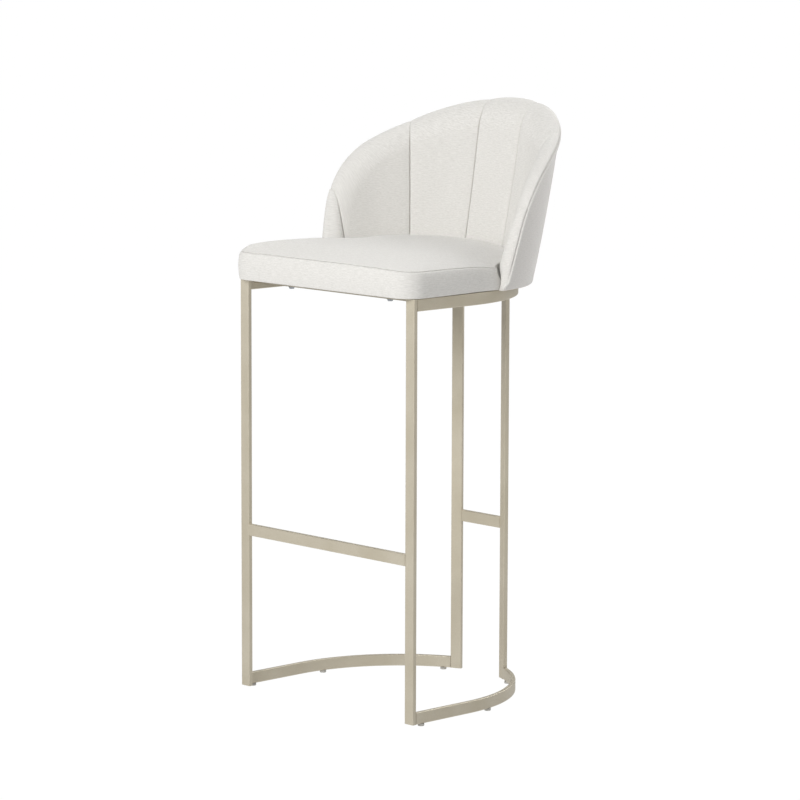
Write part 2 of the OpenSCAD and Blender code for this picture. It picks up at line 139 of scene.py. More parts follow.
def two_colours(tree, grey, low, high, dark, light):
    """A grey value turned to a colour: dark up to low, light from high, and blended between"""
    ramp = add_node(tree, "ValToRGB", [(0, grey)])
    for stop, position, colour in zip(ramp.color_ramp.elements, (low, high), (dark, light)):
        stop.position, stop.color = position, linear(colour)
    return ramp.outputs[0]


def relief(tree, height, distance, strength):
    """Bumps whose height is a grey value"""
    inputs = [("Height", height), ("Distance", distance), ("Strength", strength)]
    return add_node(tree, "Bump", inputs).outputs[0]


def new_finish(name):
    """An empty node material and its Principled shader"""
    made = bpy.data.materials.new(name)
    made.use_nodes = True
    return made, made.node_tree, made.node_tree.nodes["Principled BSDF"]


wave_repeat = 0.314  # a wave texture repeats every 0.314 of its unit
print("upholstery white in linear values", [round(v, 3) for v in linear("#E4E2DD")])

# %% [markdown]
# ## Upholstery fabric
#
# The cover is a plain-woven cloth of off-white yarn. Its weft yarn is uneven, so short thick
# places, called slubs, lie across the cloth as faint streaks. The threads are about 0.6 mm apart,
# too fine for the camera, so they are drawn twice as coarse, and the slubs carry most of what is
# seen. The pattern reads a UV map in metres, because the cloth has to follow the curved back.

# %% Woven fabric
def woven_fabric(name, dark, light, slub_mm=(13, 1.2), streak_mm=(5, 0.8)):
    """Plain-woven slub cloth between two yarn colours"""
    made, tree, shader = new_finish(name)
    weave = add_node(tree, "UVMap", uv_map="weave").outputs["UV"]

    def stretched(size_mm):
        scale = (1 / (size_mm[0] * mm), 1 / (size_mm[1] * mm), 1)
        return add_node(tree, "Mapping", [("Vector", weave), ("Scale", scale)]).outputs[0]

    slubs = noise(tree, stretched(slub_mm), 1, 3)
    streaks = noise(tree, stretched(streak_mm), 1, 2)
    mixed = maths(tree, "ADD", slubs, streaks)
    yarn = two_colours(tree, maths(tree, "MULTIPLY", mixed, 0.5), 0.36, 0.64, dark, light)
    thread = [("Vector", weave), ("Scale", wave_repeat / (1.3 * mm))]  # one thread every 1.3 mm
    weft, warp = (add_node(tree, "TexWave", thread, bands_direction=axis).outputs["Fac"]
                  for axis in "YX")
    height = maths(tree, "MULTIPLY_ADD", maths(tree, "MULTIPLY", weft, warp), 0.35, mixed)
    connect(tree, shader, [
        ("Base Color", yarn), ("Normal", relief(tree, height, 0.4 * mm, 0.55)),
        ("Roughness", 0.92), ("IOR", 1.45), ("Specular IOR Level", 0.25),
        ("Sheen Weight", 0.25), ("Sheen Roughness", 0.5),
    ])
    return made


off_white_slub = woven_fabric("off_white_slub_weave", "#CFCDC8", "#E1DFDB")
# The outside cover is the same cloth with its yarn colours drawn a little darker: painted shade on
# the outside of the back.
cover_cloth_painted_shade = woven_fabric("outer_back_weave_painted_shade", "#CECBC7", "#DDDAD6", (11, 1.1), (4, 0.8))
# The piping's yarn colours are drawn a little lighter than the lining's: a painted highlight on the
# round cord.
piping_cloth_painted_highlight = woven_fabric("bias_cut_piping_weave_painted_highlight", "#D2CFCA", "#E7E5E1", (7, 1.0), (3, 0.7))
print("fabrics", [m.name for m in (off_white_slub, cover_cloth_painted_shade, piping_cloth_painted_highlight)])

# %% [markdown]
# ## Powder-coated steel
#
# The bars are coated with a champagne powder that holds a little metal flake. Baked powder flows
# out into a satin skin with a faint orange-peel ripple a few millimetres wide. The flake makes it
# partly metallic, which is why its light and dark faces differ more than those of plain paint.

# %% Powder coat
def powder_coat(name, base, flake):
    """Satin powder coat with fine flake and orange peel, on object coordinates"""
    made, tree, shader = new_finish(name)
    place = add_node(tree, "TexCoord").outputs["Object"]
    flakes = noise(tree, place, 1 / (0.9 * mm), 1)
    cloud = noise(tree, place, 1 / (60 * mm), 2)
    peel = noise(tree, place, 1 / (2.4 * mm), 1)
    colour = two_colours(tree, maths(tree, "MULTIPLY", flakes, cloud), 0.1, 0.45, base, flake)
    connect(tree, shader, [
        ("Base Color", colour), ("Normal", relief(tree, peel, 0.04 * mm, 0.5)),
        ("Metallic", 0.35), ("Roughness", 0.42),
    ])
    return made


champagne_steel = powder_coat("champagne_powder_coat", "#C1B8A3", "#CEC6B4")
print("steel finish", champagne_steel.name)

# %% [markdown]
# ## Hidden and small finishes
#
# The plywood, the foam, the dust cover and the zinc-plated fixings are hidden or seen mostly from
# below, and the plastic glides show as small feet under the floor rails. Each is still given what
# its making leaves on it: plies, open cells, felted fibres, a fine moulded grain and a bright
# plated skin.

# %% Plywood, foam, felt, plastic, zinc
def birch_plywood():
    """Birch veneer with plies stacked up the edge"""
    made, tree, shader = new_finish("birch_plywood")
    place = add_node(tree, "TexCoord").outputs["Object"]
    scale = (1 / 0.004, 1 / 0.06, 1 / 0.004)  # fibres 60 mm long and 4 mm across
    fibres = add_node(tree, "Mapping", [("Vector", place), ("Scale", scale)]).outputs[0]
    ply = [("Vector", place), ("Scale", wave_repeat / 0.003)]  # one pair of plies every 3 mm
    plies = add_node(tree, "TexWave", ply, bands_direction="Z").outputs["Fac"]
    both = maths(tree, "MULTIPLY_ADD", plies, 0.35, noise(tree, fibres, 1, 4))
    colour = two_colours(tree, both, 0.3, 1.0, "#B89468", "#DCC39A")
    connect(tree, shader, [("Base Color", colour), ("Roughness", 0.62)])
    return made


def grained(name, dark, light, grain_mm, depth_mm, roughness, metallic=0.0):
    """An even finish with a fine random grain, for moulded, felted or plated skins"""
    made, tree, shader = new_finish(name)
    place = add_node(tree, "TexCoord").outputs["Object"]
    grain = noise(tree, place, 1 / (grain_mm * mm), 2)
    connect(tree, shader, [
        ("Base Color", two_colours(tree, grain, 0.35, 0.65, dark, light)),
        ("Normal", relief(tree, grain, depth_mm * mm, 0.6)),
        ("Roughness", roughness), ("Metallic", metallic),
    ])
    return made


plywood = birch_plywood()
seat_foam = grained("cut_seat_foam", "#D8CDA9", "#EFE5C8", 1.2, 0.3, 0.95)
black_felt = grained("felted_dust_cover", "#141414", "#26262A", 1.5, 0.2, 0.95)
glide_plastic = grained("moulded_polyethylene_glide", "#ABA8A1", "#B8B5AE", 0.8, 0.03, 0.5)
zinc_plate = grained("bright_zinc_plate", "#8E9196", "#A5A8AD", 2.0, 0.01, 0.35, 1.0)

finish_of_slot = {
    "frame_steel": champagne_steel, "upholstery": off_white_slub, "piping": piping_cloth_painted_highlight,
    "plywood": plywood, "foam": seat_foam, "dust_cover": black_felt,
    "glide_plastic": glide_plastic, "zinc_fixings": zinc_plate,
}
for entry in frame["record"]["subparts"]:
    part = parts[entry["node"]]
    part.data.materials.clear()
    part.data.materials.append(finish_of_slot[entry["material_slot"]])

# %% [markdown]
# ## The shape of the tub
#
# The back is part of a flared drum that leans backwards. A point on it is named by its angle round
# the drum, its height along the drum's axis, and how deep it lies under the outside. Every soft
# piece of the back is laid on this one surface, so that all of them fit each other and the plywood
# shell.

# %% A point on the tub
tilt = radians(4.4)
tub_y = tub_middle - 5 * mm


def drum_radius(height):
    """Outside radius of the drum at a height along its axis"""
    share = height / (280 * mm)
    return (226 + 33 * share + 12 * share * (1 - share)) * mm


def on_tub(angle, height, depth):
    """A point at an angle from +X (90 degrees is the back), a height and a depth"""
    r = drum_radius(height) - depth
    a = radians(angle)
    return Vector((r * cos(a), tub_y + r * sin(a) * cos(tilt) + height * sin(tilt),
                   ring_top - r * sin(a) * sin(tilt) + height * cos(tilt)))


def height_for_z(angle, z, depth):
    """Height along the axis at which the wall passes a level"""
    height = z - ring_top
    for _ in range(6):
        height += (z - on_tub(angle, height, depth).z) / cos(tilt)
    return height


print("drum radius at the ring and at the top", round(drum_radius(0), 4),
      round(drum_radius(0.28), 4))

# %% [markdown]
# ## The line of the rim
#
# Seen from the side, the tub is cut off along one smooth line: up the front edge of each wing,
# round a wide curve, and up a gentle slope to the back. Each point is described by how far along
# the line it lies and how far inside it, which is how an upholsterer measures a rolled edge.

# %% Side view of the rim
lean, slope = radians(13.5), radians(28.8)
wing_foot = Vector((tub_middle + 27 * mm, ring_top))
rise = Vector((sin(lean), cos(lean)))
run = Vector((cos(slope), sin(slope)))
rim_h = 291.5 * mm
rim_back = Vector((tub_y + drum_radius(rim_h) * cos(tilt) + rim_h * sin(tilt), ring_top + rim_h))
to_back = rim_back - wing_foot
to_corner = (to_back.x * run.y - to_back.y * run.x) / (rise.x * run.y - rise.y * run.x)
corner = wing_foot + rise * to_corner
curve_r = 190 * mm
curve_turn = pi / 2 - lean - slope
curve_start = corner - rise * curve_r * tan(curve_turn / 2)
curve_end = corner + run * curve_r * tan(curve_turn / 2)
curve_centre = curve_start + curve_r * Vector((rise.y, -rise.x))
straight = (curve_start - wing_foot).length
curve_length = curve_r * curve_turn
wall_top = 0.345  # a height along the axis that is above the rim everywhere


def rim_place(y, z):
    """(how far along the rim line, how far inside it) of a side-view point"""
    p = Vector((y, z))
    if z < curve_start.y:
        q = p - wing_foot
        return q.dot(rise), q.x * rise.y - q.y * rise.x
    if y > curve_end.x:
        q = p - curve_end
        return straight + curve_length + q.dot(run), q.x * run.y - q.y * run.x
    q = p - curve_centre
    return straight + curve_r * (atan2(q.y, q.x) * -1 + pi - lean), curve_r - q.length


def inside_rim(p):
    """How far a point lies inside the rim line, seen from the side"""
    return rim_place(p.y, p.z)[1]


def side_point(along, inside):
    """The side-view point at a place along the rim line and inside it"""
    if along < straight:
        return wing_foot + along * rise + inside * Vector((rise.y, -rise.x))
    if along > straight + curve_length:
        beyond = along - straight - curve_length
        return curve_end + beyond * run + inside * Vector((run.y, -run.x))
    a = pi - lean - (along - straight) / curve_r
    return curve_centre + (curve_r - inside) * Vector((cos(a), sin(a)))


def tub_from_side(along, inside, depth, side):
    """The point of the wall at a place on the side view, on the left (-1) or right (1)"""
    y, z = side_point(along, inside)
    height = (y - tub_y) * sin(tilt) + (z - ring_top) * cos(tilt)
    forward = (y - tub_y) * cos(tilt) - (z - ring_top) * sin(tilt)
    r = drum_radius(height) - depth
    return Vector((side * sqrt(max(r * r - forward * forward, 0)), y, z))


def height_inside(angle_at, inside, depth):
    """Height at which a seam line, angle_at(height), is this far inside the rim"""
    low, high = -0.02, wall_top
    for _ in range(26):
        middle = (low + high) / 2
        if inside_rim(on_tub(angle_at(middle), middle, depth)) > inside:
            low = middle
        else:
            high = middle
    return low


print("rim line: wing", round(straight, 3), "curve", round(curve_length, 3),
      "back of the rim at z", round(rim_back.y, 4))

# %% [markdown]
# ## Seams of the channelled lining
#
# Six seams divide the inside of the back into seven channels. They fan out a little towards the
# rim, because the drum widens. Each channel is stuffed, so it swells between its seams, and it
# rolls right over the rim to a piping cord on the outside. Seen in section the roll is a wide,
# soft quarter ellipse on the inside. On the outside it is tight, and curls past its brow and back
# in to the cord.

# %% Seams and the roll over the rim
def seam_angle(number, height):
    """Angle from the back of seam 1, 2 or 3 at a height; 0 is the back itself"""
    if number == 1:
        return 12.6
    if number == 2:
        return 41.0 + (height - 67 * mm) * 3.4 / (199 * mm)
    return 73.3 + (height - 61 * mm) * 3.2 / (79 * mm)


def smooth_step(x):
    """0 below 0, 1 above 1 and an S curve between"""
    x = min(max(x, 0), 1)
    return x * x * (3 - 2 * x)


def between(a, b, share):
    """The value a share of the way from a to b"""
    return a + (b - a) * share


roll_in, crest_depth = 22 * mm, 11 * mm  # the roll's inner half, the crest's place in the wall
cord_r, cord_inside, cord_depth = 2.6 * mm, 3.5 * mm, -0.5 * mm
tuck_inside, brow_depth = 2.6 * mm, -0.5 * mm  # the lining's end at the cord, its brow above it
crest_low, crest_high = 3.4 * mm, 5.8 * mm  # at a seam and at a channel's middle
shell_inner = 11.5 * mm
groove_depth = 2.6 * mm  # how far a channel's edge dives into its seam
weave_r = 0.24  # radius at which widths of cloth round the drum are measured


def turned_in(along):
    """1 at the wing's foot, where the join turns in over the wing's front, and 0 above it"""
    return smooth_step(1 - (along - 2 * mm) / (15 * mm))


def roll_over(turn, depth, crest, reach=roll_in, tucked=0):
    """(inside, depth) on the roll: turn 0 is the inner face, 90 the crest, 180 the cord"""
    a = radians(turn)
    if turn <= 90:
        return between(reach, -crest, sin(a)), between(crest_depth, depth, cos(a))
    past_brow = 35  # how many degrees it curls back in, which leaves a crease at the cord
    a = radians(90 + (turn - 90) * (90 + past_brow) / 90)
    tall = (between(tuck_inside, -1.2 * mm, tucked) + crest) / (1 + sin(radians(past_brow)))
    brow = between(brow_depth, 4.2 * mm, tucked)
    return tall * (1 - sin(a)) - crest, crest_depth + (crest_depth - brow) * cos(a)


across_channel = [0, 0.007, 0.02, 0.045, 0.085, 0.14, 0.21, 0.3, 0.4, 0.5]
across_channel += [1 - s for s in across_channel[-2::-1]]


def fullness(s):
    """How far a channel swells at s across it: 0 at its seams and 1 at its middle"""
    return (1 - abs(2 * s - 1) ** 3.2) ** 0.75


print("seams at the ring, from the back:", [round(seam_angle(n, 0), 1) for n in (1, 2, 3)])

# %% [markdown]
# ## Sheets of cloth from a grid
#
# Every upholstered piece starts as a flat grid, the shape of cut cloth. Its UV map is written
# first, in metres along and across the cloth, and then each corner is moved to its place. Doing it
# in this order keeps the weave straight on the cloth however the cloth is bent. Closed pieces have
# their two meeting edges merged, and their open ends creased and filled so that neighbours meet
# sharply.

# %% Cloth helper
def cut_cloth(name, columns, rows, place, closed=False, finish=off_white_slub):
    """A piece of cloth whose corners are place(s, t) -> (point, (u, v)), with s, t from 0 to 1"""
    cloth = bmesh.new()
    bmesh.ops.create_grid(cloth, x_segments=columns, y_segments=rows, size=0.5)
    weave = cloth.loops.layers.uv.new("weave")
    crease = cloth.edges.layers.float.new("crease_edge")
    where = {v: place(v.co.x + 0.5, v.co.y + 0.5) for v in cloth.verts}
    for face in cloth.faces:
        face.smooth = True
        for loop in face.loops:
            loop[weave].uv = where[loop.vert][1]
    for v, (point, _) in where.items():
        v.co = point
    bmesh.ops.remove_doubles(cloth, verts=cloth.verts, dist=0.02 * mm)
    if closed:
        ends = [e for e in cloth.edges if e.is_boundary]
        for e in ends:
            e[crease] = 1.0
        bmesh.ops.holes_fill(cloth, edges=ends, sides=0)
        bmesh.ops.recalc_face_normals(cloth, faces=cloth.faces)
    shape = bpy.data.meshes.new(name)
    cloth.to_mesh(shape)
    cloth.free()
    made = bpy.data.objects.new(name, shape)
    bpy.context.scene.collection.objects.link(made)
    shape.materials.append(finish)
    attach(made, "root")
    return made


def smooth_up(piece, levels):
    """A live subdivision surface"""
    rounder = piece.modifiers.new("rounder", "SUBSURF")
    rounder.levels = rounder.render_levels = levels


def face_away(piece, centre):
    """Turns an open sheet so that its faces look away from a point"""
    sheet = bmesh.new()
    sheet.from_mesh(piece.data)
    if sum(f.normal.dot(f.calc_center_median() - centre) * f.calc_area() for f in sheet.faces) < 0:
        bmesh.ops.reverse_faces(sheet, faces=sheet.faces)
        sheet.to_mesh(piece.data)
    sheet.free()


print("cloth helper ready")

# %% [markdown]
# ## The five tall channels
#
# A channel is a long foam-filled sleeve. Its path runs up the inner face, over the rim, down
# behind against the plywood and back under itself, so the grid closes into a sleeve. Its two edges
# dive into the seams, and the columns of the grid crowd there, which gives the thin dark valley of
# a sewn channel.

# %% Tall channels
seam_depth, full_depth = 29.5 * mm, 35 * mm
channel_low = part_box("channel_centre")[0].z + 0.3 * mm
roll_from, roll_share, back_from, back_share = 0.5, 0.3, 0.8, 0.2  # of the way round the sleeve
roll_cloth, back_cloth = 60 * mm, 0.4  # cloth over the roll, and where the weave starts behind


def channel_place(angle_at, s, t):
    """A corner of a tall channel; angle_at(s, height) fans the columns between two seams"""
    s = across_channel[round(s * (len(across_channel) - 1))]
    full = fullness(s)
    groove = s in (0, 1)
    depth = between(seam_depth, full_depth, full) - groove_depth * groove
    crest = between(crest_low, crest_high, full) - 0.9 * mm * groove
    column = lambda height: angle_at(s, height)
    low = height_for_z(column(0), channel_low, depth)
    if t < roll_from:  # up the inner face
        height = between(low, height_inside(column, roll_in, depth), t / roll_from)
        cloth_v = height
    elif t < back_from:  # over the rim
        inside, depth = roll_over(180 * (t - roll_from) / roll_share, depth, crest)
        height = height_inside(column, inside, depth)
        cloth_v = height_inside(column, roll_in, seam_depth)
        cloth_v += roll_cloth * (t - roll_from) / roll_share
    elif t < 0.999:  # down behind
        depth = shell_inner
        top = height_inside(column, 4 * mm, depth)
        foot = height_for_z(column(0), channel_low, depth)
        height = between(top, foot, (t - back_from) / back_share)
        cloth_v = back_cloth + height
    else:  # the last row lies on the first one
        height, cloth_v = low, 0.0
    return on_tub(column(height), height, depth), (radians(column(height)) * weave_r, cloth_v)


def tall_channel(name, first, second, side):
    """The channel between two seams; side is -1 left, 1 right, 0 the centre"""
    def angle_at(s, height):
        a = -seam_angle(1, height) if side == 0 else side * seam_angle(first, height)
        b = seam_angle(1, height) if side == 0 else side * seam_angle(second, height)
        return 90 - between(a, b, s)
    made = cut_cloth("lining_" + name, len(across_channel) - 1, 60,
                     lambda s, t: channel_place(angle_at, s, t), closed=True)
    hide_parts("channel_" + name)
    smooth_up(made, 2)
    return made


linings = [tall_channel("centre", 1, 1, 0)]
for side, word in ((-1, "left"), (1, "right")):
    linings.append(tall_channel("inner_" + word, 1, 2, side))
    linings.append(tall_channel("outer_" + word, 2, 3, side))
print("tall channels", [(p.name, len(p.data.polygons)) for p in linings])

# %% [markdown]
# ## The narrow channels at the wings' mouths
#
# In front of the last seam a narrow channel wraps each wing's front edge. Its rows run across,
# from the seam round the edge to the cord, and shrink to nothing where the seam meets the rim. At
# the foot the padding thins out, because the cloth is pulled hard under the wing and stapled
# there.

# %% Wing channels
roll_length = 48 * mm
wing_low = ring_top + 0.15 * mm
wing_rows, wing_columns = 44, 40
seam_share, rim_share = 0.72, 0.28  # rows that leave the seam on the inner face, and over the rim
wrap_share, return_share = 0.78, 0.22  # columns round the edge, and back behind against the shell
last_seam = lambda height: 90 - seam_angle(3, height)


def wing_start(t):
    """(along, cloth distance from the cord) where row t leaves the seam"""
    if t < seam_share:
        low = height_for_z(last_seam(0), wing_low, seam_depth)
        height = between(low, height_inside(last_seam, roll_in, seam_depth), t / seam_share)
        along, inside = rim_place(*on_tub(last_seam(height), height, seam_depth).yz)
        return along, roll_length + inside - roll_in
    turn = 180 * (t - seam_share) / rim_share
    inside, depth = roll_over(turn, seam_depth, crest_low)
    height = height_inside(last_seam, inside, depth)
    along, _ = rim_place(*on_tub(last_seam(height), height, depth).yz)
    return along, roll_length * (1 - turn / 180)


wing_starts = [wing_start(i / wing_rows) for i in range(wing_rows + 1)]


def wing_section(cloth, depth, crest, thin, tucked=0):
    """(inside, depth) at a distance along the cloth from the cord; thin is 1 at the foot"""
    depth = between(depth, 16.5 * mm, thin * smooth_step(1.6 - cloth / (50 * mm)))
    if cloth > roll_length:
        return roll_in + cloth - roll_length, depth
    return roll_over(180 * (1 - cloth / roll_length), depth, between(crest, 1.4 * mm, thin),
                     between(roll_in, 14 * mm, thin), tucked)


def wing_place(side, s, t):
    """A corner of a wing channel, s from the seam over the edge and back, t up the seam"""
    start_along, start_cloth = wing_starts[round(t * wing_rows)]
    level = start_along * cos(lean) - start_cloth * sin(lean)
    thin = smooth_step(1 - level / (36 * mm))
    near = min(start_cloth / (20 * mm), 1)
    start_inside, _ = wing_section(start_cloth, seam_depth, crest_low, 0)
    slant = (1 - t) * tan(lean)
    tucked = turned_in(start_along - slant * (start_inside - tuck_inside))
    if s == 0 or s > 0.999:
        cloth, groove = start_cloth, groove_depth * near
        inside, depth = wing_section(cloth, seam_depth - groove, crest_low - groove * 0.3, thin,
                                     tucked)
    elif s <= wrap_share:
        cloth = start_cloth * (1 - (s / wrap_share) ** 1.25)
        away = 1 - cloth / max(start_cloth, 1e-9)
        full = (1 - (1 - min(away * 2.6, 1)) ** 2.5) * near
        inside, depth = wing_section(cloth, seam_depth + 8 * mm * full,
                                     between(crest_low, crest_high, full), thin, tucked)
    else:
        back = (s - wrap_share) / return_share
        inside, depth = between(tuck_inside, start_inside, back), shell_inner
        cloth = start_cloth * back
    along = start_along - slant * (start_inside - inside)
    return tub_from_side(along, inside, depth, side), (cloth + 0.2, along)


for side, word in ((-1, "left"), (1, "right")):
    wing = cut_cloth("lining_wing_" + word, wing_columns, wing_rows,
                     lambda s, t: wing_place(side, s, t), closed=True)
    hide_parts("channel_wing_" + word)
    smooth_up(wing, 2)
    linings.append(wing)
print("wing channels", [(p.name, len(p.data.polygons)) for p in linings[-2:]])

# %% [markdown]
# ## The outside of the back and its piping
#
# The outside is one piece of the same cloth, drawn tight over the shell and pulled under its lower
# edge. Columns of the grid stand at an angle of the drum, are measured along the rim, and crowd at
# its two feet. A piping cord, cloth sewn round a cord, closes the join between lining and outside
# a little below the crest of the roll. At each foot it turns in over the front of the wing, where
# its end is hidden.

# %% Places along the rim
def rim_height(angle, inside, depth):
    """Height at which the wall at an angle is this far inside the rim"""
    return height_inside(lambda _: angle, inside, depth)


foot_angle = 90 - degrees(acos(min((wing_foot.x - tub_y) / drum_radius(0), 1)))
trail, trail_steps = [(foot_angle, 0.0)], 600  # (angle, distance along the rim), foot to back
last_point = on_tub(foot_angle, rim_height(foot_angle, 0, 0), 0)
for step in range(1, trail_steps + 1):
    angle = between(foot_angle, 90, (step / trail_steps) ** 1.6)
    point = on_tub(angle, rim_height(angle, 0, 0), 0)
    trail.append((angle, trail[-1][1] + (point - last_point).length))
    last_point = point
half_rim = trail[-1][1]


def rim_angle(s):
    """Angle at a share s of the way along the rim from the left foot (0) to the right foot (1)"""
    distance = half_rim * (1 - abs(2 * s - 1))
    low, high = 0, len(trail) - 1
    while high - low > 1:
        middle = (low + high) // 2
        if trail[middle][1] <= distance:
            low = middle
        else:
            high = middle
    (a, da), (b, db) = trail[low], trail[high]
    angle = between(a, b, (distance - da) / max(db - da, 1e-9))
    return 180 - angle if s < 0.5 else angle


def join_offsets(along):
    """(inside, depth) of the join between lining and cover at a place along the rim line"""
    foot = turned_in(along)
    return between(cord_inside, -0.8 * mm, foot), between(cord_depth, 4.4 * mm, foot)


print("half the rim is", round(half_rim, 3), "m long, from", round(foot_angle, 2), "degrees")

# %% Piping
def piping_middle(s):
    """The middle of the piping cord along the rim"""
    angle = rim_angle(s)
    along, _ = rim_place(*on_tub(angle, rim_height(angle, 0, 0), 0).yz)
    inside, depth = join_offsets(along)
    if along > straight + curve_length:
        return on_tub(angle, rim_height(angle, inside, depth), depth)
    return tub_from_side(max(along, 1.0 * mm), inside, depth, -1 if s < 0.5 else 1)


def piping_place(s, t):
    """A corner of the piping, s along the cord and t round it"""
    middle = piping_middle(s)
    ahead = (piping_middle(min(s + 0.003, 1)) - piping_middle(max(s - 0.003, 0))).normalized()
    outward = Vector((middle.x, middle.y - tub_y, 0)).normalized()
    outward = (outward - outward.dot(ahead) * ahead).normalized()
    upward = ahead.cross(outward)
    a = 2 * pi * t
    round_it = cos(a) * outward + sin(a) * upward
    return middle + cord_r * round_it, (2 * half_rim * s, t * 2 * pi * cord_r)


# Its cloth is drawn a little lighter than the lining's: a painted highlight.
piping = cut_cloth("rim_piping", 260, 12, piping_place, closed=True, finish=piping_cloth_painted_highlight)
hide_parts("back_piping")
print("piping", len(piping.data.polygons), "faces")

# %% Outside cover
cover_skin = 0.3 * mm
join_low, hem_top, hem_under = (ring_top + up * mm for up in (2.5, 2.4, 0.1))
down_share, turn_share = 0.9, 0.05  # rows down the outside, and round the lower edge


def cover_top(angle):
    """Height at which the wall at an angle meets the join, and how far along the rim it is"""
    low, high = 0, wall_top
    for _ in range(24):
        middle = (low + high) / 2
        along, inside = rim_place(*on_tub(angle, middle, 1 * mm).yz)
        if inside > join_offsets(along)[0] + 0.4 * mm:
            low = middle
        else:
            high = middle
    return low, along


def cover_place(s, t):
    """A corner of the outside cover, s along the rim and t from the join down and under"""
    s -= 0.7 * sin(2 * pi * s) / (2 * pi)  # columns crowd at the two feet
    angle = rim_angle(s)
    top, along = cover_top(angle)
    edge_depth = join_offsets(along)[1] + 1.6 * mm
    top = max(top, height_for_z(angle, join_low, edge_depth))
    low = min(height_for_z(angle, hem_top, cover_skin), top)
    if t <= down_share:
        height = between(top, low, (t / down_share) ** 1.4)
        wrap = min(between(9 * mm, 1.5 * mm, turned_in(along)), 0.4 * (top - low) + 0.1 * mm)
        fade = max(1 - (top - height) / wrap, 0) ** 2
        depth = between(cover_skin, edge_depth, fade)
    else:
        a = pi / 2 * min((t - down_share) / turn_share, 1)
        depth = cover_skin + 2.2 * mm * (1 - cos(a)) + max(t - 0.95, 0) / turn_share * 8 * mm
        height = min(height_for_z(angle, hem_under + 2.3 * mm * (1 - sin(a)), depth), low)
    return on_tub(angle, height, depth), (radians(angle) * weave_r, height)


# Its cloth is drawn a little darker than the lining's: painted shade.
cover = cut_cloth("outside_cover", 160, 40, cover_place, finish=cover_cloth_painted_shade)
face_away(cover, Vector((0, tub_y, ring_top + 0.1)))
thick = cover.modifiers.new("cloth_thickness", "SOLIDIFY")
thick.thickness, thick.offset = 1.1 * mm, -1
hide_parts("back_cover")
print("outside cover", len(cover.data.polygons), "faces")

# %% [markdown]
# ## The seat pad
#
# The pad is a boxed cushion: a top panel, a side band called the boxing, and a plain seam between
# them. In front of the tub the boxing is pulled under the seat board and stapled. The grid for the
# top panel follows the pad's outline row by row, and the boxing is extruded down from its edge. A
# cloth simulation then blows the cover up between its held seams, as the foam does in a new
# cushion.

# %% Outline of the pad
seam_z = ring_top + 42 * mm
pad_low, pad_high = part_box("seat_cover")
pad_front = pad_low.y + 3.8 * mm
half_front, half_mouth, corner_r = pad_high.x - 3.8 * mm, pad_high.x - 11.5 * mm, 33 * mm
tub_pad_r = 196.5 * mm
tub_pad_y = tub_middle - 2 * mm
mouth_y = tub_middle + 31 * mm

mouth_gap = 5 * mm  # from the mouth to the next row on either side
corner_rows, side_rows, tub_rows = 8, 24, 22

outline = []  # the y of each row's middle, then the y and x of its end
for i in range(corner_rows + 1):  # round the front corner; the first row bends a little round it
    a = radians(between(32, 90, i / corner_rows))
    outline.append((pad_front + corner_r * i / corner_rows, pad_front + corner_r * (1 - cos(a)),
                    half_front - corner_r + corner_r * sin(a)))
for i in range(1, side_rows + 1):  # back along the side
    y = between(pad_front + corner_r, mouth_y - mouth_gap, i / side_rows)
    outline.append((y, y, between(half_front, half_mouth, i / side_rows)))
first_back = sqrt(tub_pad_r ** 2 - (mouth_y - tub_pad_y) ** 2)
outline.append((mouth_y, mouth_y, (half_mouth + first_back) / 2))
start = atan2(mouth_y + mouth_gap - tub_pad_y, first_back)
for i in range(tub_rows + 1):  # round inside the tub
    a = between(start, pi / 2, i / tub_rows)
    y = tub_pad_y + tub_pad_r * sin(a)
    outline.append((y, y, tub_pad_r * cos(a)))
pad_rows = len(outline) - 1
slit_x = half_mouth - 3 * mm
crown_rise = 42 * mm  # how far in from the seam the crown reaches its height
row_bend = (outline[0][1] - pad_front) / (outline[0][2] - half_front + corner_r) ** 2
print("pad rows", pad_rows, "from y", round(outline[0][0], 3), "to", round(outline[-1][0], 3))

# %% Top panel
def fading(distance, reach):
    """1 at a place, a half at its reach, and dying away beyond"""
    return 2 ** (-((distance / reach) ** 2))


def seam_level(x, y):
    """Height of the top seam: not quite level, as sewn by hand, and pulled down beside the wings"""
    aside = min(abs(x) / half_front, 1)
    near, round_it = (fading(y - mouth_y, reach * mm) for reach in (28, 90))
    pulled = (7 * near + 3.5 * round_it * (x > 0)) * mm * aside ** 8
    return seam_z + 5.8 * mm - 3.3 * mm * max(x / half_front, 0) ** 3 - pulled


def pad_top_place(s, t):
    """A corner of the top panel, with a low crown to start from"""
    middle, end, half = outline[round(t * pad_rows)]
    q = 2 * s - 1
    x = half * (0.55 * q + 0.45 * sin(q * pi / 2))
    bend = max(abs(x) - (half_front - corner_r), 0)
    y = middle
    if end > middle:
        y = between(middle, end, (bend / (half - half_front + corner_r)) ** 2)
    in_front = y - pad_front - bend ** 2 * row_bend
    edge = min(half - abs(x), in_front, crown_rise) / crown_rise
    # short folds run out from the slit beside each wing, where the cloth is pulled down
    aside, back = slit_x - abs(x), mouth_y - y
    far = hypot(aside, back)
    lopsided = x / half_front
    crown = (8.5 - 6 * lopsided + 2 * lopsided ** 2) * mm
    crown *= (1 - (1 - max(edge, 0)) ** 2.4) * (1 - 0.5 * fading(far, 26 * mm))
    fold = 1.5 * mm * sin(7 * atan2(back, aside)) * min(far / (9 * mm), 1) * fading(far, 24 * mm)
    return Vector((x, y, seam_level(x, y) + crown + fold * min(max(edge, 0) * 6, 1))), (x, y)


pad = cut_cloth("seat_pad", 60, pad_rows, pad_top_place)
print("top panel", len(pad.data.polygons), "faces")

# %% Once round the seam
band = bmesh.new()
band.from_mesh(pad.data)
weave = band.loops.layers.uv["weave"]
if sum(f.normal.z for f in band.faces) < 0:
    bmesh.ops.reverse_faces(band, faces=band.faces)

